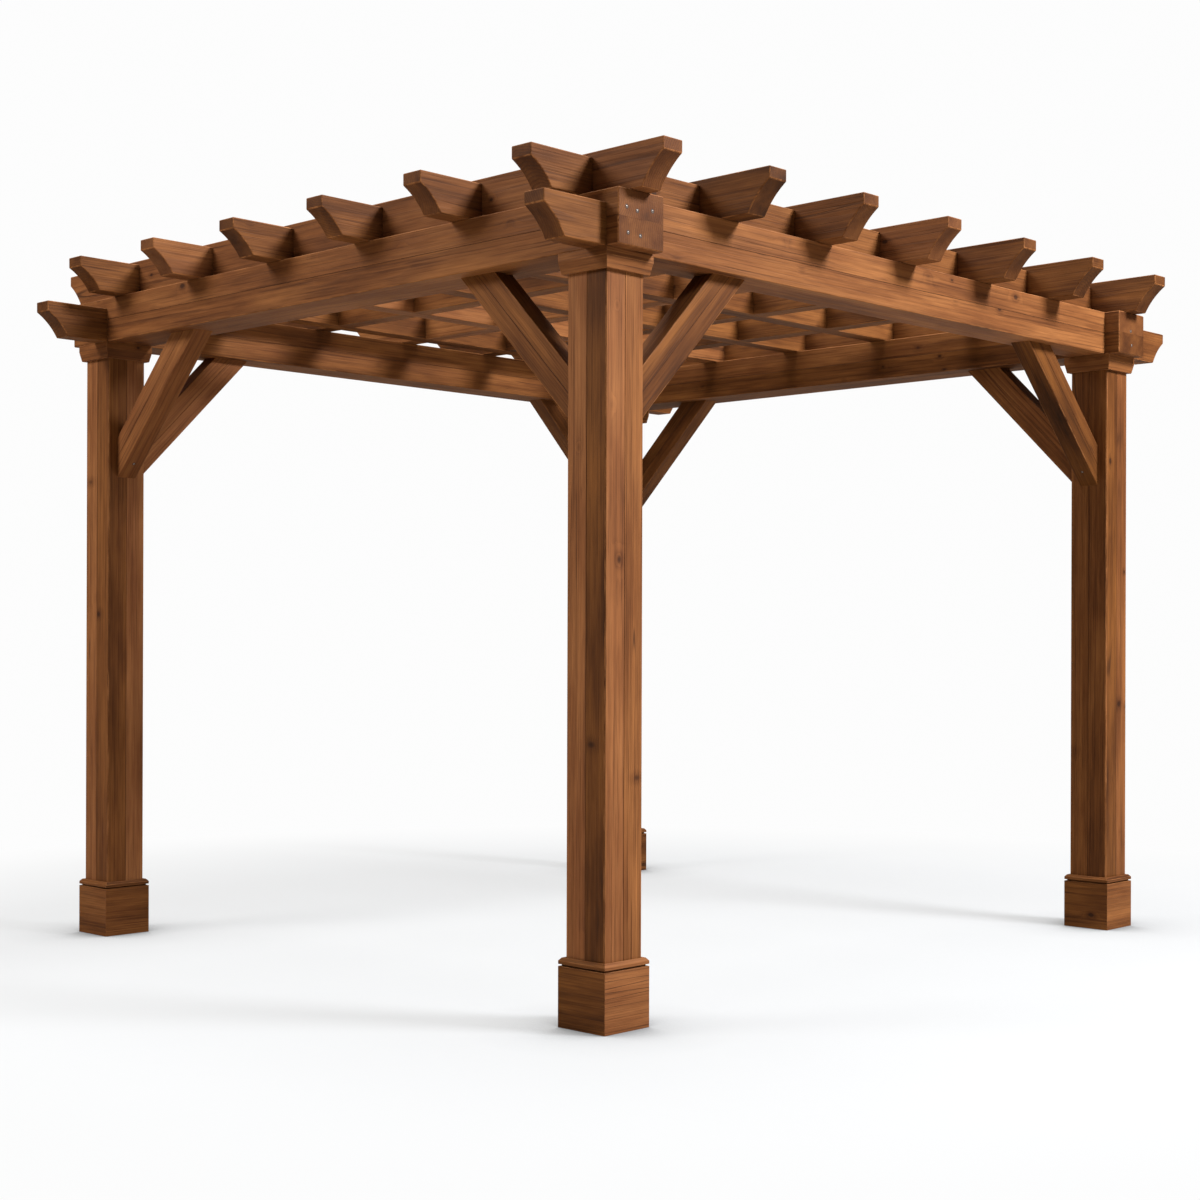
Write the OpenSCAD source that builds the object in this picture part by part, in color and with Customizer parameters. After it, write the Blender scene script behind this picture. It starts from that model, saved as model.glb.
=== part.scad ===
// Four-post wooden pergola: knee-braced posts, two side beams, two cross beams,
// and an open roof of purlins and rafters lapped into each other.
// Millimetres, +Z up, floor at zero, front towards -Y.

/* [Posts] */
// Width of a square post
post_w = 140; // [100:1:180]
// Distance between post centres from left to right
span_x = 2530; // [2000:5:3200]
// Distance between post centres from front to rear
span_y = 2330; // [1800:5:2900]
// Height of a post, floor to the underside of the beams
post_h = 2010; // [1700:5:2400]
// Flat of the eased edge down each corner of a post
post_ease = 4; // [1:0.5:8]
// Depth of the glue-line groove down the middle of each post face
seam_d = 2; // [1:0.5:4]

/* [Bases] */
// Thickness of the boards that box in the foot of a post
base_board = 14; // [10:0.5:30]
// Height of the boxed base
base_h = 160; // [100:1:260]
// Height of the shadow groove between base and trim
groove_h = 5; // [3:0.5:10]
// Depth of the shadow groove
groove_d = 7; // [3:0.5:10]
// Height of the upright lip of the trim
trim_lip_h = 9; // [5:0.5:16]
// Height of the sloped top of the trim
trim_slope_h = 8; // [4:0.5:16]

/* [Caps] */
// Thickness of the cap's upright band, post face to outside
cap_board = 18; // [14:0.5:32]
// Height of the cap under the beams
cap_h = 54; // [30:1:90]
// Height of the upright band at the top of the cap
cap_band_h = 22; // [10:1:28]
// How far the cap draws in below its band
cap_draw = 7; // [3:0.5:12]

/* [Beams] */
// Height of the beams
beam_h = 145; // [110:1:200]
// Width of a side beam
side_w = 172; // [152:1:220]
// Reach of a side beam past the post centre
side_reach = 126; // [100:1:220]
// Width of a cross beam
cross_w = 140; // [80:1:180]
// Length of a beam tail outside the side beam
tail_len = 222; // [150:1:320]
// Height of a beam tail
tail_h = 110; // [80:1:140]
// Distance of a beam tail's front face ahead of the post centre
tail_front = 84; // [40:1:98]

/* [Braces] */
// Height on the post and length on the beam that a knee brace takes up
brace_leg = 455; // [300:5:700]
// Depth of a knee brace, square to its length
brace_d = 98; // [60:1:130]
// Thickness of a knee brace
brace_t = 70; // [40:1:90]

/* [Roof] */
// Thickness of the rafters, purlins and beam tails
board_t = 72; // [40:1:90]
// Height of a rafter
rafter_h = 118; // [90:1:160]
// Reach of a rafter past the post centre
rafter_reach = 234; // [200:1:420]
// Height of a purlin
purlin_h = 104; // [80:1:150]
// Reach of a purlin past the post centre
purlin_reach = 258; // [180:1:420]
// Distance of the first purlin's middle behind the centres of the front posts
purlin_front = 50; // [0:1:200]
// Distance of the last purlin's middle ahead of the centres of the rear posts
purlin_rear = 165; // [0:1:300]
// Height of the square nose left above a coved end
nose_h = 33; // [15:1:50]
// Length of a coved end along the board
cove_run = 74; // [40:1:120]
// Hollow of the cove below a straight cut
cove_sag = 7; // [2:0.5:14]

/* [Hidden] */
$fn = 96;
// Clearance of a sleeve around its post
sleeve_gap = 0.3;
// Clearance on each side of a lapped joint
lap_gap = 0.4;
// Share of the purlin height that its lap leaves standing
lap_share = 0.5;
// Overrun of every cut past the face it opens
over = 2;
rafter_count = 7;
purlin_count = 6;
beam_top = post_h + beam_h;
lap_z = purlin_h * lap_share;
rafter_pitch = span_x / (rafter_count - 1);
purlin_pitch = (span_y - purlin_front - purlin_rear) / (purlin_count - 1);
rafter_len = span_y + 2 * rafter_reach;
purlin_len = span_x + 2 * purlin_reach;
sleeve_w = post_w + 2 * sleeve_gap;
base_w = sleeve_w + 2 * base_board;
cap_w = sleeve_w + 2 * cap_board;
trim_h = groove_h + trim_lip_h + trim_slope_h;
brace_cut = brace_d * sqrt(2);
wood = [0.55, 0.34, 0.19];
wood_dark = [0.47, 0.28, 0.15];
wood_light = [0.62, 0.40, 0.23];

// Place of the post on one side (left -1, right 1) and end (front -1, rear 1)
module at_post(side, end) {
    translate([side * span_x / 2, end * span_y / 2, 0]) children();
}

// Plan of a post: a square with eased corners and a V groove down each face
module post_plan() {
    difference() {
        intersection() {
            square(post_w, center = true);
            rotate(45) square(post_w * sqrt(2) - 2 * post_ease, center = true);
        }
        for (turn = [0:90:270])
            rotate(turn) translate([post_w / 2, 0]) rotate(45) square(seam_d * sqrt(2), center = true);
    }
}

module post(side, end) {
    color(wood) at_post(side, end) linear_extrude(height = post_h) post_plan();
}

// Square moulding: one outline run along X and along Y, and what both share
module square_moulding(run_w) {
    intersection() {
        rotate([90, 0, 0]) linear_extrude(height = run_w, center = true) children();
        rotate([90, 0, 90]) linear_extrude(height = run_w, center = true) children();
    }
}

// Square hole for the post through a sleeve of the given height
module post_hole(height) {
    translate([-sleeve_w / 2, -sleeve_w / 2, -over]) cube([sleeve_w, sleeve_w, height + 2 * over]);
}

module base(side, end) {
    color(wood_dark) at_post(side, end) difference() {
        translate([-base_w / 2, -base_w / 2, 0]) cube([base_w, base_w, base_h]);
        post_hole(base_h);
    }
}

// Outline of the trim: recessed neck, upright lip, top sloped in to the post
module trim_outline() {
    neck = base_w / 2 - groove_d;
    lip = base_w / 2;
    top = (post_w + base_w) / 4;
    lip_z = groove_h + trim_lip_h;
    polygon([[-neck, 0], [neck, 0], [neck, groove_h], [lip, groove_h], [lip, lip_z], [top, trim_h],
             [-top, trim_h], [-lip, lip_z], [-lip, groove_h], [-neck, groove_h]]);
}

module base_trim(side, end) {
    color(wood_dark) at_post(side, end) translate([0, 0, base_h]) difference() {
        square_moulding(base_w) trim_outline();
        post_hole(trim_h);
    }
}

// Outline of the cap: upright band above, drawn in towards the foot
module cap_outline() {
    band = cap_w / 2;
    foot = band - cap_draw;
    polygon([[-foot, 0], [foot, 0], [band, cap_h - cap_band_h], [band, cap_h], [-band, cap_h],
             [-band, cap_h - cap_band_h]]);
}

module cap(side, end) {
    color(wood_dark) at_post(side, end) translate([0, 0, post_h - cap_h]) difference() {
        square_moulding(cap_w) cap_outline();
        post_hole(cap_h);
    }
}

module side_beam(side) {
    beam_len = span_y + 2 * side_reach;
    color(wood) translate([side * span_x / 2 - side_w / 2, -beam_len / 2, post_h])
        cube([side_w, beam_len, beam_h]);
}

module cross_beam(end) {
    beam_len = span_x - side_w;
    color(wood) translate([-beam_len / 2, end * span_y / 2 - cross_w / 2, post_h])
        cube([beam_len, cross_w, beam_h]);
}

// Disc that hollows the cove under the end of a board, with that end at X zero
module cove_disc(height) {
    rise = height - nose_h;
    chord = sqrt(cove_run * cove_run + rise * rise);
    radius = (chord * chord / 4 + cove_sag * cove_sag) / (2 * cove_sag);
    back = radius - cove_sag;
    translate([cove_run / 2 - back * rise / chord, rise / 2 - back * cove_run / chord]) circle(r = radius);
}

// Side of a roof board, centred on its length, with a cove under both ends
module coved_board(length, height) {
    difference() {
        translate([-length / 2, 0]) square([length, height]);
        for (end = [0, 1]) mirror([end, 0]) translate([-length / 2, 0]) cove_disc(height);
    }
}

// Beam tail butted against the outside of the side beam
module tail(side, end) {
    color(wood) at_post(side, end) mirror([side > 0 ? 1 : 0, 0, 0])
        translate([-side_w / 2 - tail_len, board_t / 2 - tail_front, post_h])
            rotate([90, 0, 0]) linear_extrude(height = board_t, center = true) difference() {
                square([tail_len, tail_h]);
                cove_disc(tail_h);
            }
}

// Side of a knee brace, mitred to the post face at X zero and to the beam above
module brace_outline() {
    foot_z = post_h - brace_leg;
    polygon([[0, foot_z], [brace_leg, post_h], [brace_leg - brace_cut, post_h], [0, foot_z + brace_cut]]);
}

module side_brace(side, end) {
    color(wood_light) at_post(side, end) mirror([0, end > 0 ? 1 : 0, 0]) translate([0, post_w / 2, 0])
        rotate([90, 0, 90]) linear_extrude(height = brace_t, center = true) brace_outline();
}

module cross_brace(side, end) {
    color(wood_light) at_post(side, end) mirror([side > 0 ? 1 : 0, 0, 0]) translate([post_w / 2, 0, 0])
        rotate([90, 0, 0]) linear_extrude(height = brace_t, center = true) brace_outline();
}

// Middle of a rafter from left to right
function rafter_x(index) = (index - (rafter_count + 1) / 2) * rafter_pitch;

// Middle of a purlin from front to rear
function purlin_y(index) = purlin_front - span_y / 2 + (index - 1) * purlin_pitch;

// Rafter, front to rear, notched from below where it drops over the purlins
module rafter(index) {
    notch_w = board_t + 2 * lap_gap;
    color(wood_light) translate([rafter_x(index), 0, beam_top])
        rotate([90, 0, 90]) linear_extrude(height = board_t, center = true) difference() {
            coved_board(rafter_len, rafter_h);
            for (crossed = [1:purlin_count])
                translate([purlin_y(crossed) - notch_w / 2, -over]) square([notch_w, lap_z + over]);
        }
}

// Purlin, left to right, notched from above to take the rafters
module purlin(index) {
    notch_w = board_t + 2 * lap_gap;
    color(wood) translate([0, purlin_y(index), beam_top])
        rotate([90, 0, 0]) linear_extrude(height = board_t, center = true) difference() {
            coved_board(purlin_len, purlin_h);
            for (crossed = [1:rafter_count])
                translate([rafter_x(crossed) - notch_w / 2, lap_z])
                    square([notch_w, purlin_h - lap_z + over]);
        }
}

post(-1, -1);  // post_front_left
post(1, -1);  // post_front_right
post(-1, 1);  // post_rear_left
post(1, 1);  // post_rear_right
base(-1, -1);  // base_front_left
base(1, -1);  // base_front_right
base(-1, 1);  // base_rear_left
base(1, 1);  // base_rear_right
base_trim(-1, -1);  // base_trim_front_left
base_trim(1, -1);  // base_trim_front_right
base_trim(-1, 1);  // base_trim_rear_left
base_trim(1, 1);  // base_trim_rear_right
cap(-1, -1);  // cap_front_left
cap(1, -1);  // cap_front_right
cap(-1, 1);  // cap_rear_left
cap(1, 1);  // cap_rear_right
side_beam(-1);  // side_beam_left
side_beam(1);  // side_beam_right
cross_beam(-1);  // cross_beam_front
cross_beam(1);  // cross_beam_rear
tail(-1, -1);  // tail_front_left
tail(1, -1);  // tail_front_right
tail(-1, 1);  // tail_rear_left
tail(1, 1);  // tail_rear_right
side_brace(-1, -1);  // side_brace_front_left
side_brace(1, -1);  // side_brace_front_right
side_brace(-1, 1);  // side_brace_rear_left
side_brace(1, 1);  // side_brace_rear_right
cross_brace(-1, -1);  // cross_brace_front_left
cross_brace(1, -1);  // cross_brace_front_right
cross_brace(-1, 1);  // cross_brace_rear_left
cross_brace(1, 1);  // cross_brace_rear_right
rafter(1);  // rafter_1
rafter(2);  // rafter_2
rafter(3);  // rafter_3
rafter(4);  // rafter_4
rafter(5);  // rafter_5
rafter(6);  // rafter_6
rafter(7);  // rafter_7
purlin(1);  // purlin_1
purlin(2);  // purlin_2
purlin(3);  // purlin_3
purlin(4);  // purlin_4
purlin(5);  // purlin_5
purlin(6);  // purlin_6
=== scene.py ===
"""Looks of a four-post wooden pergola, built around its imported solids."""

import math

import bpy
import numpy as np
from bpy.props import FloatProperty, FloatVectorProperty, PointerProperty
from mathutils import Matrix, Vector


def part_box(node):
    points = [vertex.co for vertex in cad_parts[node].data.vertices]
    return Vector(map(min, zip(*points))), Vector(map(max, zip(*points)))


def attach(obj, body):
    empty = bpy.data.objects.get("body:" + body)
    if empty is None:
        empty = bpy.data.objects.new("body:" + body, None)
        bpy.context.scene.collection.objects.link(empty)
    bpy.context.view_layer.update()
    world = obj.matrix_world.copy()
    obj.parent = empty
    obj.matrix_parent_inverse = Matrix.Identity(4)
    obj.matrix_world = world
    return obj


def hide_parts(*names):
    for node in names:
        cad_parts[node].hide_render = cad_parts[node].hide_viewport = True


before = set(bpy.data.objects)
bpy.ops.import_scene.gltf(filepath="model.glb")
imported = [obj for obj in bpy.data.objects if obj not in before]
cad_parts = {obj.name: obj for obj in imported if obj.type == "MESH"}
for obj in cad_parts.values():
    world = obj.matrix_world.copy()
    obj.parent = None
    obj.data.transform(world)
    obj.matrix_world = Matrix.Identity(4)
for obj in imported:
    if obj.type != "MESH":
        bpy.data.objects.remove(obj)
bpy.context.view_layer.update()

bl_info = {
    "name": "Wooden pergola",
    "version": (1, 0, 0),
    "blender": (4, 5, 0),
    "location": "View3D > Sidebar > Pergola",
    "description": "Stained timbers, screws and studio of a four-post pergola",
    "category": "Object",
}

CORNERS = ("front_left", "front_right", "rear_left", "rear_right")
RAFTERS = [f"rafter_{i}" for i in range(1, 8)]
PURLINS = [f"purlin_{i}" for i in range(1, 7)]
X, Y, Z = np.eye(3)
FACES_OUT = (X, Y, -X, -Y)  # Ways that the faces of a post look
WHITE = (1.0, 1.0, 1.0, 1.0)
FACE, ARRIS, END, SEAM = range(4)  # Cuts of the wood, in the order of a piece's materials
HAIR = 0.0001  # Half the gap between staves that meet, which keeps each one closed
EASED = 0.7  # Share of the widest easing on beams, braces, tails and roof boards


def low_high(node):
    """Lowest and highest corner of a CAD node as arrays."""
    low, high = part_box(node)
    return np.array(low), np.array(high)


def signs(corner):
    """Side and end of a corner: left -1, right 1, front -1, rear 1."""
    return (1 if "right" in corner else -1), (1 if "rear" in corner else -1)


def inward_of(kind, corner):
    """Way from a corner's post along its side beam or its cross beam."""
    side, end = signs(corner)
    return -end * Y if kind == "side" else -side * X


# Sizes and colours


def number(name, description, default, unit="LENGTH"):
    """A number that a user may change: a length in metres, unless another unit is named."""
    return FloatProperty(name=name, description=description, default=default, unit=unit)


def paint(name, description, default):
    """A colour that a user may change."""
    return FloatVectorProperty(
        name=name, description=description, default=default, subtype="COLOR", size=3, min=0, max=1
    )


class PergolaSizes(bpy.types.PropertyGroup):
    """Sizes of the timbers' cuts, as the solids have them, and of the screws."""

    ease: number("Eased arris", "Widest flat of an eased edge", 0.004)
    nose: number("Nose", "Square nose above a coved end", 0.033)
    cove_run: number("Cove length", "Length of a coved end along the board", 0.074)
    cove_sag: number("Cove hollow", "Hollow of the cove below a straight cut", 0.007)
    lap: number(
        "Lap height", "Height at which rafters and purlins meet",
        np.ptp(low_high("purlin_1"), 0)[2] / 2,
    )
    lap_gap: number("Lap clearance", "Clearance on each side of a lapped joint", 0.0004)
    arris: number("Post arris", "Radius of a post's rounded corners", 0.005)
    seam: number("Seam", "Chamfer on each side of a seam between boards", 0.0009)
    brace_depth: number("Brace depth", "Depth of a knee brace, square to its length", 0.098)
    base_board: number("Base board", "Thickness of the boards of a base", 0.014)
    groove_high: number("Groove height", "Height of the shadow groove under the trim", 0.005)
    groove_deep: number("Groove depth", "Depth of the shadow groove under the trim", 0.007)
    lip_high: number("Lip height", "Height of the upright lip of the trim", 0.009)
    cap_board: number("Cap board", "Thickness of the cap's upright band", 0.018)
    cap_band: number("Cap band", "Height of the cap's upright band", 0.022)
    cap_draw: number("Cap draw", "How far the cap draws in below its band", 0.007)
    screw: number("Screw head", "Diameter of a screw head", 0.0066)


class PergolaColours(bpy.types.PropertyGroup):
    """Colours of the stained wood, the screws and the floor."""

    early: paint("Early wood", "Pale part of a growth ring", (0.205, 0.079, 0.0255))
    late: paint("Late wood", "Dark part of a growth ring", (0.050, 0.0148, 0.0042))
    # Also used for the seams, the trims' groove as painted shade, and the ring round screws
    knot: paint("Knot", "Heart of a knot", (0.024, 0.008, 0.0035))
    # Wear along the edges, lighter as a painted highlight too
    worn_and_highlight: paint("Worn arris", "Wood rubbed bare along an edge", (0.24, 0.098, 0.034))
    screw: paint("Screw", "Dulled screw steel", (0.24, 0.22, 0.20))
    floor: paint("Floor", "Studio floor", (0.122, 0.130, 0.140))
    bounce: paint("Bounce", "Share of light the floor throws back", (0.52, 0.48, 0.43))


class PergolaStudio(bpy.types.PropertyGroup):
    """Camera and light of the studio."""

    lens: number("Lens", "Focal length on a 36 mm sensor", 58.04, "CAMERA")
    heading: FloatProperty(
        name="Heading", description="Way the camera looks, from +Y towards +X",
        default=math.radians(46.11), subtype="ANGLE",
    )
    roll: FloatProperty(
        name="Roll", description="Turn of the camera about its view", default=math.radians(0.17),
        subtype="ANGLE",
    )
    eye: FloatVectorProperty(
        name="Eye", description="Place of the camera", default=(-4.900, -4.645, 1.0096),
        subtype="TRANSLATION", size=3,
    )
    rise: number("Rise", "Upward shift of the picture", 0.0326, "NONE")
    white: number("White", "White of the surround as seen", 0.98, "NONE")
    sky: number("Sky", "Light from the surround", 0.10, "NONE")
    glow: number("Glow", "Light of the floor's own", 0.63, "NONE")
    key: number("Key", "Power of the soft light, front right", 1430.0, "POWER")
    fill: number("Fill", "Power of the soft light, left", 480.0, "POWER")
    top: number("Top", "Power of the wide light overhead", 1100.0, "POWER")


# Materials


class Wire:
    """A shader socket that takes part in sums: each operator adds one Math node."""

    def __init__(self, finish, socket):
        self.finish = finish
        self.socket = socket

    def __add__(self, other):
        return self.finish.math("ADD", self, other)

    def __sub__(self, other):
        return self.finish.math("SUBTRACT", self, other)

    def __rsub__(self, other):
        return self.finish.math("SUBTRACT", other, self)

    def __mul__(self, other):
        return self.finish.math("MULTIPLY", self, other)

    def __truediv__(self, other):
        return self.finish.math("DIVIDE", self, other)

    def __rtruediv__(self, other):
        return self.finish.math("DIVIDE", other, self)

    def __pow__(self, other):
        return self.finish.math("POWER", self, other)

    def __rpow__(self, other):
        return self.finish.math("POWER", other, self)

    __radd__ = __add__
    __rmul__ = __mul__


class Finish:
    """Node tree of one material or world, with the calls that add to it."""

    def __init__(self, owner):
        self.owner = owner
        owner.use_nodes = True
        self.tree = owner.node_tree
        self.tree.nodes.clear()

    def node(self, kind, settings=None, inputs=None, out=0):
        """Adds a node of this kind: settings first, then sockets; gives one output as a wire."""
        made = self.tree.nodes.new(kind)
        for key, value in (settings or {}).items():
            setattr(made, key, value)
        for key, value in (inputs or {}).items():
            if isinstance(value, Wire):
                self.tree.links.new(value.socket, made.inputs[key])
            else:
                made.inputs[key].default_value = value
        return Wire(self, made.outputs[out]) if made.outputs else made

    def other(self, wire, out):
        """Another output of the node that a wire comes from."""
        return Wire(self, wire.socket.node.outputs[out])

    def math(self, operation, *values):
        """A Math node on wires or numbers."""
        settings = {"operation": operation}
        return self.node("ShaderNodeMath", settings, dict(enumerate(values)))

    def parts(self, vector):
        """The three numbers of a vector."""
        x = self.node("ShaderNodeSeparateXYZ", None, {0: vector})
        return x, self.other(x, 1), self.other(x, 2)

    def stretched(self, vector, by):
        """A vector times another, number by number."""
        return self.node("ShaderNodeVectorMath", {"operation": "MULTIPLY"}, {0: vector, 1: by})

    def noise(self, vector, by, detail=2.0, rough=0.5):
        """Noise on a stretched vector: its value, and its three colours as a vector."""
        inputs = {"Vector": self.stretched(vector, by), "Scale": 1.0, "Detail": detail,
                  "Roughness": rough}
        value = self.node("ShaderNodeTexNoise", {"noise_dimensions": "3D"}, inputs)
        return value, self.other(value, "Color")

    def smooth(self, value, low, high):
        """Smooth step of a value, from 0 at one limit to 1 at the other."""
        inputs = {0: value, 1: low, 2: high}
        return self.node("ShaderNodeMapRange", {"interpolation_type": "SMOOTHSTEP"}, inputs)

    def mix(self, share, first, second, blend="MIX"):
        """Colour mixed from two by a share."""
        settings = {"data_type": "RGBA", "blend_type": blend}
        return self.node("ShaderNodeMix", settings, {0: share, 6: first, 7: second}, out=2)

    def attribute(self, name, out):
        """A value that the mesh keeps under this name."""
        return self.node("ShaderNodeAttribute", {"attribute_name": name}, out=out)

    def surface(self, **inputs):
        """The Principled shader, joined to the output."""
        named = {key.replace("_", " "): value for key, value in inputs.items()}
        shader = self.node("ShaderNodeBsdfPrincipled", None, named)
        self.node("ShaderNodeOutputMaterial", None, {"Surface": shader})
        return self.owner


def rgba(colour, by=1.0):
    """A colour times a number, as the four numbers that a socket takes."""
    return (*[c * by for c in colour], 1.0)


def stained_cedar(name, colours, cut):
    """Stained softwood sawn from a round stem.

    The grain attribute gives metres along the stem and two across it from the pith.
    Growth rings are the fraction of (distance from pith / ring width); knots are short
    spikes pointing away from the pith, and they push the rings aside.
    """
    f = Finish(bpy.data.materials.new(name))
    pith_drift, ring_width = 0.03, 0.0072
    grain = f.attribute("grain", "Vector")
    tone = f.attribute("tone", "Fac")
    length, across, deep = f.parts(grain)
    _, drift = f.noise(grain, (0.8, 5.0, 5.0), 2.0)
    drift_x, drift_y, _ = f.parts(drift)
    across = across + (drift_x - 0.5) * pith_drift
    deep = deep + (drift_y - 0.5) * pith_drift
    radius = f.math("SQRT", across * across + deep * deep)
    angle = f.math("ARCTAN2", deep, across)

    # Knots: one chance in each cell of length and angle, drawn out along the stem and outwards
    per_metre, per_turn, knotless = 2.4, 1.9, 0.42
    long, outward = 0.62, 0.30  # Less than one draws a knot out that way
    nearest, farther = 0.05, 0.13  # Its least distance from the pith, and what chance adds
    smallest, larger = 0.004, 0.006  # Its least radius, and what chance adds
    spread = f.node("ShaderNodeCombineXYZ", None, {0: length * per_metre, 1: angle * per_turn})
    settings = {"voronoi_dimensions": "2D", "feature": "F1"}
    cell = f.node("ShaderNodeTexVoronoi", settings, {"Vector": spread, "Scale": 1.0})
    chance, bulk, depth = f.parts(f.other(cell, "Color"))
    middle_l, middle_a, _ = f.parts(f.other(cell, "Position"))
    off_l = (length - middle_l / per_metre) * long
    off_a = (angle - middle_a / per_turn) * radius
    off_r = (radius - depth * farther - nearest) * outward
    size = bulk * larger + smallest
    near = f.math("SQRT", off_l * off_l + off_a * off_a + off_r * off_r) / size
    here = f.math("GREATER_THAN", chance, knotless)
    swell = here * f.math("EXPONENT", near * near * -0.22)
    heart = here * f.smooth(near, 1.15, 0.55)
    collar = here * f.smooth(near, 2.6, 0.9)

    # Rings, fibres and the uneven take-up of the stain
    fine, _ = f.noise(grain, (2.5, 30.0, 30.0), 2.0)
    rings = radius / ring_width + swell * 1.8 + fine * 1.1
    ring = f.math("FRACT", rings)
    late = (ring ** 2.2) * f.smooth(ring, 1.0, 0.93)
    fibre, _ = f.noise(grain, (8.0, 380.0, 380.0), 2.0, 0.6)
    streak, _ = f.noise(grain, (1.5, 92.0, 92.0), 3.0, 0.62)
    pore, _ = f.noise(grain, (2.4, 150.0, 150.0), 2.0, 0.5)
    pore = f.smooth(pore, 0.56, 0.66)
    patch, _ = f.noise(grain, (1.9, 11.0, 11.0), 4.0, 0.6)

    if cut == END:
        around = f.node("ShaderNodeCombineXYZ", None, {0: angle * 26.0, 1: length})
        check, _ = f.noise(around, (1.0, 1.0, 1.0), 3.0, 0.7)
        split = f.smooth(check, 0.66, 0.72) * 0.5
        dark = late * 0.30 + fine * 0.30 + 0.42
    else:
        dark = late * 0.19 + f.smooth(streak, 0.30, 0.72) * 0.36 + (fibre - 0.5) * 0.80
        dark = dark + pore * 0.28 + collar * 0.26 + 0.08
        wander, _ = f.noise(grain, (0.8, 34.0, 34.0), 0.0)
        spell, _ = f.noise(grain, (1.7, 5.0, 5.0), 1.0)
        line = f.smooth(f.math("ABSOLUTE", wander - 0.5), 0.018, 0.005)
        split = line * f.smooth(spell, 0.60, 0.66)
    dark = f.node("ShaderNodeClamp", None, {0: dark})
    colour = f.mix(dark, rgba(colours.early), rgba(colours.late))
    colour = f.mix(f.math("MAXIMUM", heart * 0.85, split * 0.7), colour, rgba(colours.knot))
    warm, cool = (1.0, 0.93, 0.89, 1.0), (1.0, 1.05, 1.08, 1.0)
    tint = f.mix(f.smooth(patch, 0.34, 0.66), warm, cool)
    colour = f.mix(1.0, colour, tint, "MULTIPLY")
    # Each stave's tone, part of it painted shade and painted light, sets its brightness
    bright = (patch - 0.5) * 1.75 + tone * 0.2 + 0.96
    rich = 1.0 - tone * 0.025
    inputs = {"Hue": 0.5, "Saturation": rich, "Value": bright, "Fac": 1.0, "Color": colour}
    colour = f.node("ShaderNodeHueSaturation", None, inputs)
    height = late * 0.5 + fibre * 0.5 + streak * 0.4 - heart * 0.5 - pore * 0.5 - split
    rough = fibre * 0.16 + (1.0 - late) * 0.08 + 0.50
    if cut == ARRIS:
        # Edges lighten at random: partly wear, partly a painted highlight along the arrises
        rub, _ = f.noise(grain, (9.0, 60.0, 60.0), 3.0, 0.65)
        rubbed_and_highlight = f.smooth(rub, 0.40, 0.66) * 0.75
        colour = f.mix(rubbed_and_highlight, colour, rgba(colours.worn_and_highlight))
        rough = rough + rubbed_and_highlight * 0.12
    if cut == SEAM:
        # Dark joints, plus painted shade in the seams and the trims' groove
        grime_and_shade = 0.6
        colour = f.mix(grime_and_shade, colour, rgba(colours.knot))
    inputs = {"Strength": 0.35, "Distance": 0.0014, "Height": height}
    bump = f.node("ShaderNodeBump", None, inputs)
    return f.surface(Base_Color=colour, Roughness=rough, Normal=bump, Specular_IOR_Level=0.10)


def screw_steel(name, colours):
    """Dulled zinc of a screw head, mottled with a little rust brown, in a ring of dark wood."""
    f = Finish(bpy.data.materials.new(name))
    place = f.node("ShaderNodeTexCoord", None, None, "Object")
    mottle, _ = f.noise(place, (900.0, 900.0, 900.0), 3.0, 0.6)
    wood = f.smooth(f.attribute("outward", "Fac"), 0.92, 1.04)
    rust = f.smooth(mottle, 0.42, 0.68)
    colour = f.mix(rust, rgba(colours.screw), rgba(colours.late))
    colour = f.mix(wood, colour, rgba(colours.knot))
    metal = (0.5 - rust * 0.4) * (1.0 - wood)
    rough = f.math("MAXIMUM", rust * 0.25 + 0.44, wood * 0.8)
    return f.surface(Base_Color=colour, Metallic=metal, Roughness=rough)


def seen_apart(f, seen, unseen, output):
    """Shows the camera one shader and lights the timbers with another."""
    camera = f.node("ShaderNodeLightPath", None, None, "Is Camera Ray")
    blend = f.node("ShaderNodeMixShader", None, {0: camera, 1: unseen, 2: seen})
    f.node(output, None, {"Surface": blend})
    return f.owner


def studio_floor(name, colours, studio):
    """Pale floor with a light of its own, fading into the white surround away from the middle.

    Away is the distance from the middle in metres. Near the bases the floor's own light
    is dimmed as painted contact shadow; under the roof its bounce is dimmed as painted shade.
    """
    f = Finish(bpy.data.materials.new(name))
    place = f.node("ShaderNodeTexCoord", None, None, "Object")
    away = f.node("ShaderNodeVectorMath", {"operation": "LENGTH"}, {0: place}, "Value")
    fade = f.smooth(away, 2.0, 3.8)
    speck, _ = f.noise(place, (14.0, 14.0, 14.0), 4.0)
    tint = f.mix(speck, rgba(colours.floor), rgba(colours.floor, 0.97))
    # Ambient occlusion dims the floor's own light near the bases: painted contact shadow
    settings = {"samples": 8, "only_local": False}
    nook = f.node("ShaderNodeAmbientOcclusion", settings, {"Distance": 0.30}, "AO")
    lit_with_painted_shadow = f.mix(f.smooth(nook, 0.45, 1.0), rgba(WHITE[:3], 0.25), WHITE)
    matt = f.node("ShaderNodeBsdfPrincipled", None, {
        "Base Color": tint, "Roughness": 0.9, "Specular IOR Level": 0.05,
        "Emission Color": lit_with_painted_shadow, "Emission Strength": studio.glow,
    })
    glow = f.node("ShaderNodeEmission", None, {"Color": WHITE, "Strength": studio.white})
    seen = f.node("ShaderNodeMixShader", None, {0: fade, 1: matt, 2: glow})
    # Weaker bounce under the roof: painted shade that only the timbers see
    shaded = f.smooth(away, 0.7, 2.2)
    thrown = f.mix(shaded, rgba(colours.bounce, 0.15), rgba(colours.bounce))
    bounce = f.node("ShaderNodeBsdfDiffuse", None, {"Color": thrown})
    return seen_apart(f, seen, bounce, "ShaderNodeOutputMaterial")


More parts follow.
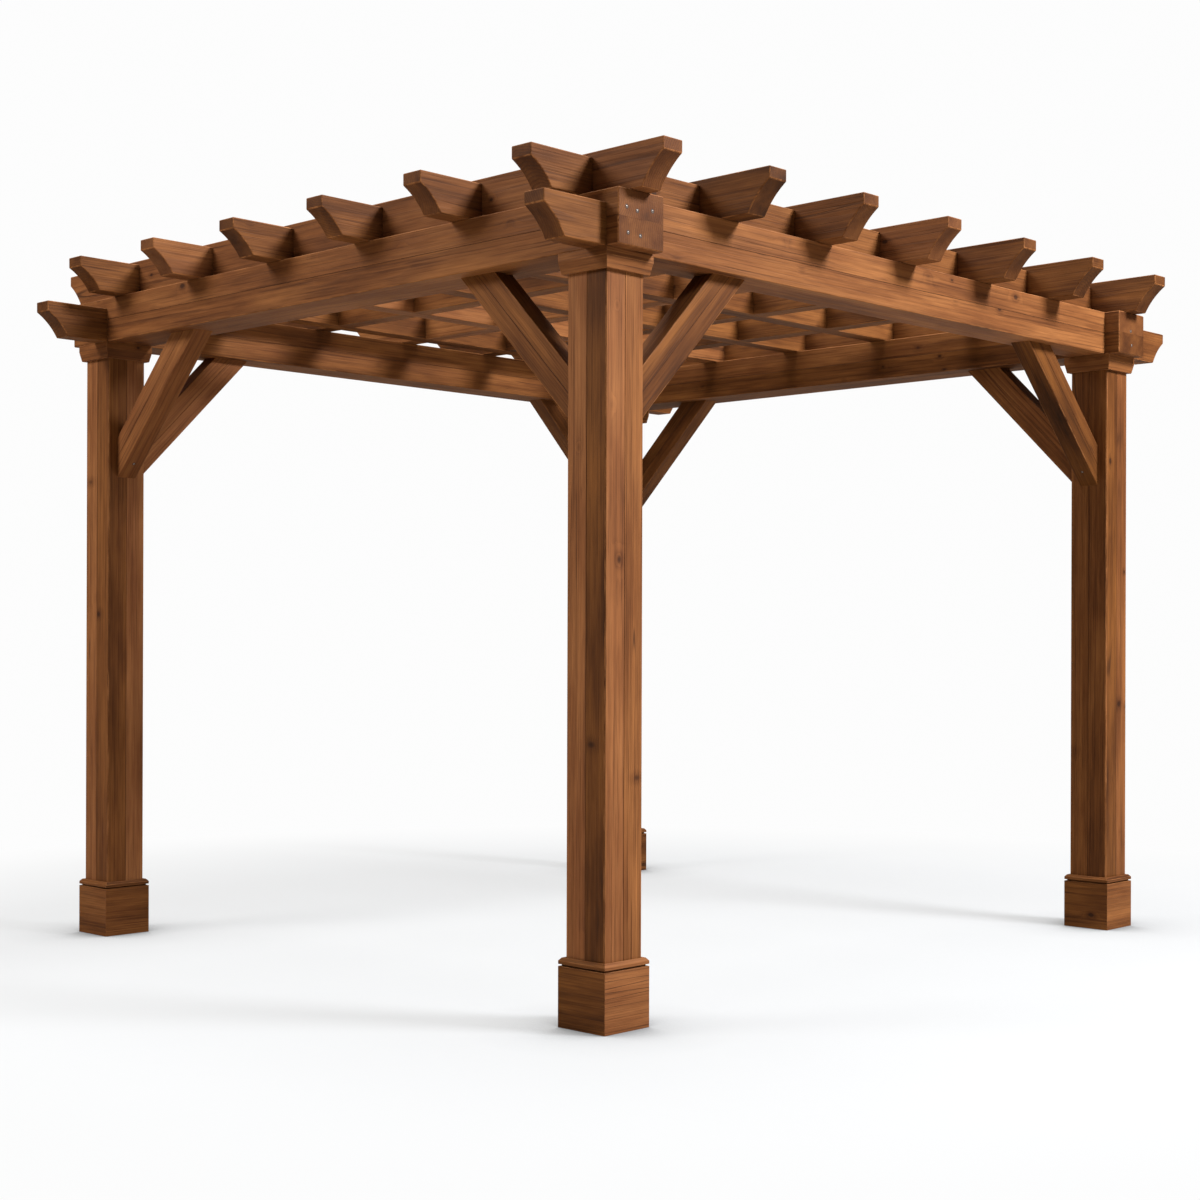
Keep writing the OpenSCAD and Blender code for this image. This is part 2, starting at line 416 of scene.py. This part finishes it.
def woods():
    """The cuts of the stained wood, made once: long grain, arris, end grain and seam."""
    names = ("stained_cedar", "stained_cedar_arris", "stained_cedar_end", "stained_cedar_seam")
    colours = bpy.context.scene.pergola_colours
    return [
        bpy.data.materials.get(name) or stained_cedar(name, colours, cut)
        for cut, name in enumerate(names)
    ]


# Shapes


def mesh_of(name, points, faces):
    """A new mesh of points and faces."""
    mesh = bpy.data.meshes.new(name)
    mesh.from_pydata(points, [], faces)
    mesh.update()
    return mesh


def keep(mesh, name, kind, domain, values):
    """Keeps a number or vector for every point or edge of a mesh under a name."""
    data = mesh.attributes.new(name, kind, domain).data
    field = "vector" if kind == "FLOAT_VECTOR" else "value"
    data.foreach_set(field, values.astype(np.float32).ravel())


def placed(name, data):
    """A new object of the scene that shows a mesh, a lamp or a camera."""
    made = bpy.data.objects.new(name, data)
    bpy.context.scene.collection.objects.link(made)
    return made


def bands(rings, around):
    """Quads between each ring of a grid of points and the next, as rows of indices."""
    start = np.arange(rings * around).reshape(rings, around)
    after = np.roll(start, -1, 1)
    return np.stack([start[:-1], start[1:], after[1:], after[:-1]], -1).reshape(-1, 4)


def fan(pole, ring):
    """Triangles from a pole to each side of a ring, as rows of indices."""
    return np.stack([np.full(len(ring), pole), ring, np.roll(ring, -1)], 1)


class Timber:
    """Staves of one piece, gathered into one mesh.

    A stave is an outline in the plane of axes a and b carried along t = a x b, from start
    to stop. Both may differ from point to point, which cuts a mitre.
    """

    STEEP = 0.4  # Rise of an outline's edge past which it cuts across grain along a
    BACK = (0.03, 0.10)  # Least and most distance of a stave from its pith
    OFF = 0.03  # Most that its middle lies to one side of the pith
    STEM = 60.0  # Length of stem that the staves come from
    LIFT = 0.5  # Most that chance lightens or darkens a stave

    def __init__(self, seed):
        self.rng = np.random.default_rng(seed)
        self.points, self.grain, self.tone = [], [], []
        self.faces, self.cut = [], []
        self.following, self.rim, self.corner = [], [], []
        self.count = 0

    def stave(self, outline, start, stop, origin, axis_a, axis_b, along, corner, rim, tone,
              cut=FACE, shift=None):
        """Adds one stave: outline points a and b at t start and stop, joined by a band of quads.

        Along names the axis of the grain, a or t. Corner and rim weigh the easing of the
        edges through each outline point and round each end of the outline. Cut names the
        finish of the quad after each point where it isn't plain long or end grain. A shift
        moves the points of the outline inwards at both ends, which eases them by one more band.
        """
        n = len(outline)
        rings = [(outline, start), (outline, stop)]
        if shift is not None:
            back = np.abs(shift).max()
            rings = [(outline + shift, start), (outline, start + back),
                     (outline, stop - back), (outline + shift, stop)]
        count = len(rings)
        a, b = np.concatenate([ring for ring, _ in rings]).T
        t = np.concatenate([np.full(n, place) for _, place in rings])
        axis_t = np.cross(axis_a, axis_b)
        points = np.outer(a, axis_a) + np.outer(b, axis_b) + np.outer(t, axis_t)
        self.points.append(points + origin)
        first = self.count + n * np.arange(count)[:, None] + np.arange(n)
        after = np.roll(first, -1, 1)
        self.following.append(after.ravel())
        quads = np.stack([first[:-1], after[:-1], after[1:], first[1:]], -1)
        self.faces += quads.reshape(-1, 4).tolist()
        self.faces += [first[0, ::-1].tolist(), first[-1].tolist()]
        edge = np.roll(outline, -1, 0) - outline
        steep = np.abs(edge[:, 1]) / np.linalg.norm(edge, axis=1) > self.STEEP
        if along == "a":
            band, cap = np.where(steep, END, cut), FACE
            self.grain.append(self.sawn(a, b, t))
        else:
            band, cap = np.broadcast_to(cut, n), END
            self.grain.append(self.sawn(t, a, b))
        eased = np.where(band == FACE, ARRIS, band)
        cuts = [band] if shift is None else [eased, band, eased]
        self.cut.append(np.concatenate([*cuts, [cap, cap]]))
        self.rim.append(np.tile(np.broadcast_to(rim, n), count))
        self.corner.append(np.tile(np.broadcast_to(corner, n), count))
        # The given shade holds painted shade and painted light; chance adds a little
        shade = tone + self.rng.uniform(-self.LIFT, self.LIFT)
        self.tone.append(np.full(count * n, shade))
        self.count += count * n

    def sawn(self, along, wide, high):
        """Grain coordinates: a stave cut on one side of the stem's pith, anywhere along it."""
        wide, high = [v - (v.max() + v.min()) / 2 for v in (wide, high)]
        if self.rng.random() < 0.5:
            wide, high = high, wide
        wide = wide * self.rng.choice([-1.0, 1.0]) + np.ptp(wide) / 2
        wide = wide + self.rng.uniform(*self.BACK)
        high = high + self.rng.uniform(-self.OFF, self.OFF)
        return np.stack([along + self.rng.uniform(0.0, self.STEM), wide, high], 1)

    def finish(self, name, slot):
        """Makes the piece from its staves in place of the CAD node of the same name."""
        mesh = mesh_of(name, np.concatenate(self.points), self.faces)
        mesh.polygons.foreach_set("material_index", np.concatenate(self.cut).astype(np.int32))
        for wood in woods():
            mesh.materials.append(wood)
        keep(mesh, "grain", "FLOAT_VECTOR", "POINT", np.concatenate(self.grain))
        keep(mesh, "tone", "FLOAT", "POINT", np.concatenate(self.tone))
        pairs = np.empty(2 * len(mesh.edges), np.int32)
        mesh.edges.foreach_get("vertices", pairs)
        one, two = pairs.reshape(-1, 2).T
        following, rim, corner = map(np.concatenate, (self.following, self.rim, self.corner))
        weight = np.where(following[one] == two, rim[one],
                          np.where(following[two] == one, rim[two], corner[one]))
        keep(mesh, "bevel_weight_edge", "FLOAT", "EDGE", weight)
        piece = placed(name + ".timber", mesh)
        bevel = piece.modifiers.new("Eased arrises", "BEVEL")
        bevel.width = bpy.context.scene.pergola_sizes.ease
        bevel.segments = 2
        bevel.limit_method = "WEIGHT"
        bevel.material = ARRIS
        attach(piece, "root")
        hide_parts(name)


def seed_of(name):
    """A number that stays the same for a piece's name."""
    return int(sum((i + 1) * ord(c) for i, c in enumerate(name)))


def cove(height, sizes, steps=13):
    """Arc of a coved end, from the foot of the nose down to the underside.

    The circle passes through both ends of the cut, and its middle stands off their chord
    by its radius less the hollow, on the outside of the board.
    """
    rise = height - sizes.nose
    run = sizes.cove_run
    chord = math.hypot(run, rise)
    radius = (chord ** 2 / 4 + sizes.cove_sag ** 2) / (2 * sizes.cove_sag)
    outward = np.array([-rise, -run]) / chord
    middle = np.array([run, rise]) / 2 + outward * (radius - sizes.cove_sag)
    first = math.atan2(rise - middle[1], -middle[0])
    last = math.atan2(-middle[1], run - middle[0])
    turn = np.linspace(first, last, steps)
    return middle + radius * np.stack([np.cos(turn), np.sin(turn)], 1)


def ends_of(count):
    """Marks the first and last of a run of points."""
    marks = np.zeros(count)
    marks[[0, -1]] = 1.0
    return marks


def coved_board(length, height, sizes, cuts, wide, from_top):
    """Outline of a roof board centred on its length, coved at both ends and notched at the cuts.

    Gives the points, the weights of their corners and the weights of the edges after them.
    """
    arc = cove(height, sizes)
    left = arc - [length / 2, 0]
    right = arc[::-1] * [-1, 1] + [length / 2, 0]
    top = height if from_top else 0.0
    notch = np.array([[-1, top], [-1, sizes.lap], [1, sizes.lap], [1, top]])
    notch[:, 0] *= wide / 2
    cuts = np.sort(cuts)
    notches = (notch[None] + np.stack([cuts, np.zeros_like(cuts)], 1)[:, None]).reshape(-1, 2)
    none = np.zeros((0, 2))
    above = notches[::-1] if from_top else none
    below = none if from_top else notches
    ends = np.array([[length / 2, height], [-length / 2, height]])
    points = np.concatenate([left, below, right, ends[:1], above, ends[1:]])
    sharp = ends_of(len(arc))
    inner, outer = np.zeros(len(below)), np.zeros(len(above))
    corner = np.concatenate([sharp, inner, sharp, [1.0], outer, [1.0]])
    open_edge = np.tile([0.0, 0.0, 0.0, 1.0], len(cuts))
    plain = np.ones(len(arc))
    rim = np.concatenate([plain, [] if from_top else open_edge, plain, [1.0],
                          open_edge if from_top else [], [1.0]])
    return points, corner, rim


def rectangle(low_a, low_b, high_a, high_b):
    """Four corners, anticlockwise."""
    return np.array([[low_a, low_b], [high_a, low_b], [high_a, high_b], [low_a, high_b]])


def turned_over(points, flip, cut):
    """Mirror image of an outline, kept anticlockwise, with the finish of its edges."""
    return points[::-1] * flip, np.roll(cut[::-1], -1)


def seamed_pair(wide, height, sizes):
    """Outlines of two boards one on the other, chamfered along the seam at half their height.

    Gives the points, corner weights, edge finishes and shifts for eased ends of each board.
    """
    chamfer, back = sizes.seam, sizes.ease * EASED
    seam, half = height / 2 - HAIR, wide / 2
    lower = np.array([
        [-half, 0], [half, 0], [half, seam - chamfer], [half - chamfer, seam],
        [chamfer - half, seam], [-half, seam - chamfer],
    ])
    corner = np.array([1.0, 1.0, 0.0, 0.0, 0.0, 0.0]) * EASED
    cut = np.array([FACE, FACE, SEAM, FACE, SEAM, FACE])
    shift = np.stack([-np.sign(lower[:, 0]), lower[:, 1] == 0], 1) * back
    upper, upper_cut = turned_over(lower, [1, -1], cut)
    upper = (upper + [0, height], corner[::-1], upper_cut, shift[::-1] * [1, -1])
    return (lower, corner, cut, shift), upper


def square_sleeve(timber, low, high, profile, shades, cut=FACE):
    """Four mitred lengths round a post: a profile of (outward, upward) carried along each side.

    A point of the profile at distance r from the post's middle runs from -r to r along its
    side, less a hair at each mitre. Shades are those of the lengths towards +X, +Y, -X and -Y.
    """
    corner, rim = 0.3, 0.2  # Share of the widest easing along the boards and round their ends
    middle = (low + high) / 2 * [1, 1, 0] + [0, 0, low[2]]
    run = profile[:, 0] - HAIR
    for out, shade in zip(FACES_OUT, shades):
        timber.stave(profile, -run, run, middle, out, Z, "t", corner, rim, shade, cut)


def roof_boards(names, crossing, axis, from_top, slot, shades, sizes):
    """Roof boards along one axis, notched where the crossing boards lap into them."""
    other = 1 - axis
    cuts = np.array([np.mean(low_high(node), 0)[axis] for node in crossing])
    for name, shade in zip(names, shades):
        low, high = low_high(name)
        size = high - low
        half = size[other] / 2
        middle = (low + high) / 2 * [1, 1, 0] + [0, 0, low[2]]
        wide = size[other] + 2 * sizes.lap_gap
        points, corner, rim = coved_board(
            size[axis], size[2], sizes, cuts - middle[axis], wide, from_top
        )
        timber = Timber(seed_of(name))
        timber.stave(points, -half, half, middle, (X, Y)[axis], Z, "a", corner * EASED,
                     rim * EASED, shade)
        timber.finish(name, slot)


def screw_head(place, out, turn, wide):
    """Round screw head with a cross recess: height = dome (1 - s^2) less the recess.

    The grid runs over s, the share of the head's radius, and the angle round it. From s = 1
    outwards lies the ring of wood that the head has pressed down. Its rim drops into the
    timber, and a point at the middle closes the head at both ends. Gives points, their s,
    quads and triangles.
    """
    around = 24
    s = np.array([0.1, 0.22, 0.34, 0.46, 0.6, 0.8, 0.94, 1.0, 1.05, 1.65, 1.8])
    dome, edge, wood, sunk = 0.24, 0.12, 0.08, -0.5
    arm, arm_reach, arm_deep = 0.13, 0.55, 0.30
    angle = np.linspace(0, 2 * math.pi, around, endpoint=False)
    ring, spin = np.meshgrid(s, angle, indexing="ij")
    x, y = ring * np.cos(spin), ring * np.sin(spin)
    in_cross = (np.minimum(np.abs(x), np.abs(y)) < arm) & (ring < arm_reach)
    z = np.where(ring <= 1, dome * (1 - ring ** 2) - in_cross * arm_deep + edge, wood)
    rim = np.column_stack([x[-1], y[-1], np.full(around, sunk)])
    poles = np.array([[0, 0, dome + edge - arm_deep], [0, 0, sunk]])
    outward = np.concatenate([ring.ravel(), ring[-1], [0.0, 0.0]])
    shape = np.concatenate([np.stack([x, y, z], -1).reshape(-1, 3), rim, poles]) * wide / 2
    side = np.cross(Z, out)
    side = side / np.linalg.norm(side)
    across = side * math.cos(turn) + np.cross(out, side) * math.sin(turn)
    axes = np.stack([across, np.cross(out, across), out])
    rows = len(s) + 1
    inner = np.arange(around)
    outer = inner + (rows - 1) * around
    top, foot = rows * around, rows * around + 1
    fans = np.concatenate([fan(top, inner), fan(foot, outer)[:, [0, 2, 1]]])
    return shape @ axes + place, outward, bands(rows, around), fans


def screws(name, heads, wide, colours):
    """One piece of several screw heads: (place, way out, turn) each."""
    points, outward, faces, count = [], [], [], 0
    for place, out, turn in heads:
        some, s, quads, fans = screw_head(place, out, turn, wide)
        points.append(some)
        outward.append(s)
        faces += (quads + count).tolist() + (fans + count).tolist()
        count += len(some)
    mesh = mesh_of(name, np.concatenate(points), faces)
    keep(mesh, "outward", "FLOAT", "POINT", np.concatenate(outward))
    steel = bpy.data.materials.get("screw_steel") or screw_steel("screw_steel", colours)
    mesh.materials.append(steel)
    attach(placed(name, mesh), "root")


# Operators


class PERGOLA_OT_posts(bpy.types.Operator):
    """Four posts glued from eight staves each, two to a face with a seam between them"""

    bl_idname = "pergola.posts"
    bl_label = "Posts"

    # Shade of the left and right stave, as seen from the post's middle, of the faces
    # towards +X, +Y, -X and -Y: partly each stave's own tone, partly painted shade and
    # painted light set face by face
    SHADES = {
        "front_left": ((0.2, -0.6), (-0.3, 0.1), (-2.0, 1.1), (-0.5, 0.7)),
        "front_right": ((-0.2, 0.3), (0.2, -0.7), (-0.7, -1.4), (-0.1, -1.7)),
        "rear_left": ((-0.5, 0.2), (0.1, -0.4), (-1.2, 0.9), (1.1, -1.7)),
        "rear_right": ((0.3, -0.5), (-0.2, 0.4), (-0.6, 0.1), (-1.0, -0.4)),
    }

    def execute(self, context):
        for corner in CORNERS:
            name = "post_" + corner
            low, high = low_high(name)
            right = self.half_face((high - low)[0] / 2, context.scene.pergola_sizes)
            left = turned_over(right[0], [-1, 1], right[1])
            middle = (low + high) / 2 * [1, 1, 0]
            timber = Timber(seed_of(name))
            for out, shades in zip(FACES_OUT, self.SHADES[corner]):
                for (outline, cut), shade in zip((left, right), shades):
                    timber.stave(outline, low[2], high[2], middle, np.cross(out, Z), out, "t",
                                 0.0, 0.0, shade, cut)
            timber.finish(name, "posts")
        return {"FINISHED"}

    def half_face(self, half, sizes):
        """Plan of the stave right of a face's seam, from the post's middle to its round corner.

        Half of the corner's quarter circle is on this stave. Gives the points and the finish
        of the edge after each.
        """
        turn = np.radians([45.0, 67.5, 90.0])
        rounded = half - sizes.arris + sizes.arris * np.stack([np.cos(turn), np.sin(turn)], 1)
        gap = sizes.seam / 4
        seam = [[gap + sizes.seam, half], [gap, half - sizes.seam]]
        rounded[0] += [-HAIR, HAIR]
        points = np.concatenate([[[gap, gap + 2 * HAIR]], rounded, seam])
        return points, np.array([FACE, ARRIS, ARRIS, FACE, SEAM, SEAM])


class PERGOLA_OT_bases(bpy.types.Operator):
    """Four boxed bases of mitred boards, each with its moulded trim above a shadow groove"""

    bl_idname = "pergola.bases"
    bl_label = "Bases"

    # Shade of the boards towards +X, +Y, -X and -Y: their own tone, with painted shade
    # darkening the -X boards and the rear left -Y board
    SHADES = {
        "front_left": (-0.6, -1.0, -2.4, 0.5),
        "front_right": (-0.8, -0.4, -1.8, -0.8),
        "rear_left": (-1.2, -0.6, -1.2, -2.0),
        "rear_right": (-0.5, -1.1, -0.9, -1.4),
    }

    def execute(self, context):
        sizes = context.scene.pergola_sizes
        for corner in CORNERS:
            name = "base_" + corner
            low, high = low_high(name)
            wide, tall = (high - low)[[0, 2]]
            timber = Timber(seed_of(name))
            board = rectangle(wide / 2 - sizes.base_board, 0, wide / 2, tall)
            square_sleeve(timber, low, high, board, self.SHADES[corner])
            timber.finish(name, "bases")
            name = "base_trim_" + corner
            low, high = low_high(name)
            lip, tall = (high - low)[[0, 2]] * [0.5, 1]
            inner = lip - sizes.base_board
            neck = lip - sizes.groove_deep
            lip_top = sizes.groove_high + sizes.lip_high
            profile = np.array([
                [inner, 0], [neck, 0], [neck, sizes.groove_high], [lip, sizes.groove_high],
                [lip, lip_top], [lip - sizes.base_board / 2, tall], [inner, tall],
            ])
            # The groove takes the seam finish, darkened as painted shade in its recess
            cut = [SEAM, SEAM, SEAM, FACE, FACE, FACE, FACE]
            timber = Timber(seed_of(name))
            square_sleeve(timber, low, high, profile, self.SHADES[corner], cut)
            timber.finish(name, "bases")
        return {"FINISHED"}


class PERGOLA_OT_caps(bpy.types.Operator):
    """Four mitred caps round the heads of the posts"""

    bl_idname = "pergola.caps"
    bl_label = "Caps"

    # Shade of the boards towards +X, +Y, -X and -Y
    SHADES = (-0.5, -0.5, -0.5, -0.5)

    def execute(self, context):
        sizes = context.scene.pergola_sizes
        for corner in CORNERS:
            name = "cap_" + corner
            low, high = low_high(name)
            band, tall = (high - low)[[0, 2]] * [0.5, 1]
            inner = band - sizes.cap_board
            profile = np.array([
                [inner, 0], [band - sizes.cap_draw, 0], [band, tall - sizes.cap_band],
                [band, tall], [inner, tall],
            ])
            timber = Timber(seed_of(name))
            square_sleeve(timber, low, high, profile, self.SHADES)
            timber.finish(name, "bases")
        return {"FINISHED"}


class PERGOLA_OT_beams(bpy.types.Operator):
    """Two side beams and two cross beams, each laid up from a lower and an upper board"""

    bl_idname = "pergola.beams"
    bl_label = "Beams"

    # Shade of each beam: its own tone, with painted shade darkening the right side beam
    # and the rear cross beam, whose inner faces lie under the roof
    SHADES = {
        "side_beam_left": -0.7, "side_beam_right": -1.2,
        "cross_beam_front": -0.6, "cross_beam_rear": -1.0,
    }

    def execute(self, context):
        sizes = context.scene.pergola_sizes
        for name, shade in self.SHADES.items():
            low, high = low_high(name)
            half = (high - low) / 2
            along = Y if name.startswith("side") else X
            wide = np.cross(Z, along)
            reach = abs(half @ along)
            middle = (low + high) / 2 - half * Z
            timber = Timber(seed_of(name))
            boards = seamed_pair(2 * abs(half @ wide), 2 * half[2], sizes)
            for outline, eased, cut, shift in boards:
                timber.stave(outline, -reach, reach, middle, wide, Z, "t", eased, 0.0, shade,
                             cut, shift)
            timber.finish(name, "beams")
        return {"FINISHED"}


class PERGOLA_OT_tails(bpy.types.Operator):
    """Four beam tails outside the side beams, coved at their free end"""

    bl_idname = "pergola.tails"
    bl_label = "Beam tails"

    # Shade of every tail: its own tone, darkened as painted shade on the tails' faces
    SHADE = -1.8

    def execute(self, context):
        sizes = context.scene.pergola_sizes
        for corner in CORNERS:
            name = "tail_" + corner
            low, high = low_high(name)
            side, _ = signs(corner)
            length, thick, height = high - low
            arc = cove(height, sizes)
            outline = np.concatenate([arc, [[length, 0], [length, height], [0, height]]])
            sharp = np.concatenate([ends_of(len(arc)), [0.0, 0.0, 1.0]]) * EASED
            rim = np.full(len(outline), EASED)
            rim[-3] = 0.0  # Sharp where it meets the side beam
            nose = high[0] if side > 0 else low[0]
            origin = np.array([nose, (low[1] + high[1]) / 2, low[2]])
            timber = Timber(seed_of(name))
            timber.stave(outline, -thick / 2, thick / 2, origin, -side * X, Z, "a", sharp, rim,
                         self.SHADE)
            timber.finish(name, "beams")
        return {"FINISHED"}


class PERGOLA_OT_braces(bpy.types.Operator):
    """Eight knee braces of two boards each, mitred between post and beam"""

    bl_idname = "pergola.braces"
    bl_label = "Knee braces"

    # Shade of most braces, and of those that differ: darker than the posts as painted shade
    # under the beams; the rear left cross brace lighter as painted light
    SHADE = -2.0
    SHADES = {
        "side_brace_rear_left": -0.3, "cross_brace_rear_left": 0.5,
        "side_brace_front_right": -1.0, "cross_brace_front_right": -2.7,
    }

    def execute(self, context):
        sizes = context.scene.pergola_sizes
        for kind in ("side", "cross"):
            for corner in CORNERS:
                name = f"{kind}_brace_{corner}"
                low, high = low_high(name)
                inward = inward_of(kind, corner)
                leg = high[2] - low[2]
                origin = (low + high) / 2 - inward * leg / 2 - Z * leg / 2
                thick = abs((high - low) @ np.cross(inward, Z))
                reach = leg * math.sqrt(2)
                along = (inward + Z) / math.sqrt(2)
                across = (Z - inward) / math.sqrt(2)
                shade = self.SHADES.get(name, self.SHADE)
                timber = Timber(seed_of(name))
                boards = seamed_pair(thick, sizes.brace_depth, sizes)
                for outline, eased, cut, _ in boards:
                    mitre = outline[:, 1]
                    timber.stave(outline, mitre, reach - mitre, origin, np.cross(across, along),
                                 across, "t", eased, 0.0, shade, cut)
                timber.finish(name, "braces")
        return {"FINISHED"}


class PERGOLA_OT_rafters(bpy.types.Operator):
    """Seven rafters from front to rear, notched from below over the purlins"""

    bl_idname = "pergola.rafters"
    bl_label = "Rafters"

    # Shades from left to right: partly each rafter's own tone, partly painted shade and
    # painted light set rafter by rafter
    SHADES = (0.2, -2.4, -0.9, 0.3, -2.0, -1.9, -1.7)

    def execute(self, context):
        sizes = context.scene.pergola_sizes
        roof_boards(RAFTERS, PURLINS, 1, False, "rafters", self.SHADES, sizes)
        return {"FINISHED"}


class PERGOLA_OT_purlins(bpy.types.Operator):
    """Six purlins from left to right, notched from above for the rafters"""

    bl_idname = "pergola.purlins"
    bl_label = "Purlins"

    # Shades from front to rear: partly each purlin's own tone, partly painted shade and
    # painted light set purlin by purlin
    SHADES = (-1.6, -1.5, -1.4, -1.4, 0.3, -1.3)

    def execute(self, context):
        sizes = context.scene.pergola_sizes
        roof_boards(PURLINS, RAFTERS, 0, True, "purlins", self.SHADES, sizes)
        return {"FINISHED"}


class PERGOLA_OT_screws(bpy.types.Operator):
    """Screws in the ends of the side beams and at the feet of the knee braces"""

    bl_idname = "pergola.screws"
    bl_label = "Screws"

    # Share of the end's width and height from its lower left corner, as seen from the front
    LEFT_END = ((0.18, 0.67), (0.41, 0.635), (0.74, 0.69), (0.21, 0.22), (0.48, 0.205))
    RIGHT_END = ((0.465, 0.56), (0.50, 0.22))
    END_TURN = 0.7  # Turn of each cross in an end from the one before
    BRACE_TURN = 0.4  # Turn of the cross in a brace
    BRACE_UP = 0.045  # Height of a brace's screw above its foot, and its distance from the post

    def execute(self, context):
        sizes, colours = context.scene.pergola_sizes, context.scene.pergola_colours
        for beam, pattern in (("left", self.LEFT_END), ("right", self.RIGHT_END)):
            low, high = low_high("side_beam_" + beam)
            heads = []
            for out, face in ((-Y, low[1]), (Y, high[1])):
                for k, (wide, tall) in enumerate(pattern):
                    place = low + (high - low) * [wide, 0, tall]
                    place[1] = face
                    heads.append((place, out, self.END_TURN * k))
            screws(f"beam_screws_{beam}", heads, sizes.screw, colours)
        for kind in ("side", "cross"):
            heads = []
            for corner in CORNERS:
                low, high = low_high(f"{kind}_brace_{corner}")
                inward = inward_of(kind, corner)
                foot = (low + high - (high - low) @ abs(inward) * inward) / 2
                foot[2] = low[2]
                place = foot + (inward + Z) * self.BRACE_UP
                heads.append((place, (inward - Z) / math.sqrt(2), self.BRACE_TURN))
            screws(f"brace_screws_{kind}", heads, sizes.screw, colours)
        return {"FINISHED"}


class PERGOLA_OT_studio(bpy.types.Operator):
    """Pale floor, white surround, soft light and the camera"""

    bl_idname = "pergola.studio"
    bl_label = "Studio"

    RINGS, SPOKES, REACH = 23, 64, 60.0  # Of the floor
    # Place, aim, size and colour of each lamp
    LAMPS = {
        "key": ((2.0, -6.2, 6.1), (0, 0, 1.2), 2.2, (1.0, 0.975, 0.95)),
        "fill": ((-6.2, 2.6, 5.4), (0, 0, 1.2), 2.8, (1.0, 0.95, 0.88)),
        "top": ((-0.2, 0.1, 9.0), (0, 0, 0), 5.0, (1.0, 0.95, 0.88)),
    }

    def execute(self, context):
        scene = context.scene
        studio, colours = scene.pergola_studio, scene.pergola_colours
        self.floor(colours, studio)
        self.surround(scene, studio)
        for name, lamp in self.LAMPS.items():
            self.light(name + "_light", getattr(studio, name), *lamp)
        self.camera(scene, studio)
        scene.view_settings.view_transform = "Standard"
        return {"FINISHED"}

    def floor(self, colours, studio):
        """Disc of rings: point (r cos u, r sin u) over a grid of radius r and angle u."""
        radius = np.linspace(0.0, 1.0, self.RINGS + 1)[1:] ** 2 * self.REACH
        angle = np.linspace(0, 2 * math.pi, self.SPOKES, endpoint=False)
        r, u = np.meshgrid(radius, angle, indexing="ij")
        rings = np.stack([r * np.cos(u), r * np.sin(u), np.zeros_like(r)], -1).reshape(-1, 3)
        points = np.concatenate([rings, np.zeros((1, 3))])
        faces = bands(self.RINGS, self.SPOKES).tolist()
        faces += fan(len(rings), np.arange(self.SPOKES)).tolist()
        mesh = mesh_of("studio_floor", points, faces)
        mesh.materials.append(studio_floor("studio_floor", colours, studio))
        placed("studio_floor", mesh)

    def surround(self, scene, studio):
        """White as the camera sees it, with a weaker light of its own on the timbers."""
        scene.world = bpy.data.worlds.new("white_surround")
        f = Finish(scene.world)
        seen, unseen = [
            f.node("ShaderNodeBackground", None, {"Color": WHITE, "Strength": strength})
            for strength in (studio.white, studio.sky)
        ]
        seen_apart(f, seen, unseen, "ShaderNodeOutputWorld")

    def light(self, name, power, place, aim, size, colour):
        """A round soft lamp at a place, turned to its aim."""
        data = bpy.data.lights.new(name, "AREA")
        data.shape = "DISK"
        data.size = size
        data.energy = power
        data.color = colour
        back = np.subtract(place, aim)
        back = back / np.linalg.norm(back)
        side = np.cross(Z, back)
        side = side / np.linalg.norm(side)
        turn = np.stack([side, np.cross(back, side), back, place], 1)
        placed(name, data).matrix_world = Matrix([*turn.tolist(), [0, 0, 0, 1]])

    def camera(self, scene, studio):
        """The camera of the photo, level but for its roll."""
        data = bpy.data.cameras.new("camera")
        data.lens = studio.lens
        data.sensor_width = 36.0
        data.shift_y = studio.rise
        data.clip_end = 300.0
        camera = placed("camera", data)
        upright = Matrix.Rotation(-studio.heading, 4, "Z") @ Matrix.Rotation(math.pi / 2, 4, "X")
        camera.matrix_world = (
            Matrix.Translation(studio.eye) @ upright @ Matrix.Rotation(studio.roll, 4, "Z")
        )
        scene.camera = camera


class PERGOLA_PT_panel(bpy.types.Panel):
    """Pieces of the pergola and their sizes, colours and studio"""

    bl_label = "Pergola"
    bl_idname = "PERGOLA_PT_panel"
    bl_space_type = "VIEW_3D"
    bl_region_type = "UI"
    bl_category = "Pergola"

    def draw(self, context):
        layout = self.layout
        for operator in OPERATORS:
            layout.operator(operator.bl_idname)
        for group in (context.scene.pergola_sizes, context.scene.pergola_colours,
                      context.scene.pergola_studio):
            box = layout.box()
            for key in group.__annotations__:
                box.prop(group, key)


GROUPS = {
    "pergola_sizes": PergolaSizes,
    "pergola_colours": PergolaColours,
    "pergola_studio": PergolaStudio,
}
OPERATORS = (
    PERGOLA_OT_studio, PERGOLA_OT_posts, PERGOLA_OT_bases, PERGOLA_OT_caps, PERGOLA_OT_beams,
    PERGOLA_OT_tails, PERGOLA_OT_braces, PERGOLA_OT_purlins, PERGOLA_OT_rafters,
    PERGOLA_OT_screws,
)
CLASSES = (*GROUPS.values(), *OPERATORS, PERGOLA_PT_panel)


def register():
    for made in CLASSES:
        bpy.utils.register_class(made)
    for name, group in GROUPS.items():
        setattr(bpy.types.Scene, name, PointerProperty(type=group))


def unregister():
    for name in GROUPS:
        delattr(bpy.types.Scene, name)
    for made in reversed(CLASSES):
        bpy.utils.unregister_class(made)


def main():
    register()
    for operator in OPERATORS:
        group, call = operator.bl_idname.split(".")
        getattr(getattr(bpy.ops, group), call)()


if __name__ == "__main__":
    main()
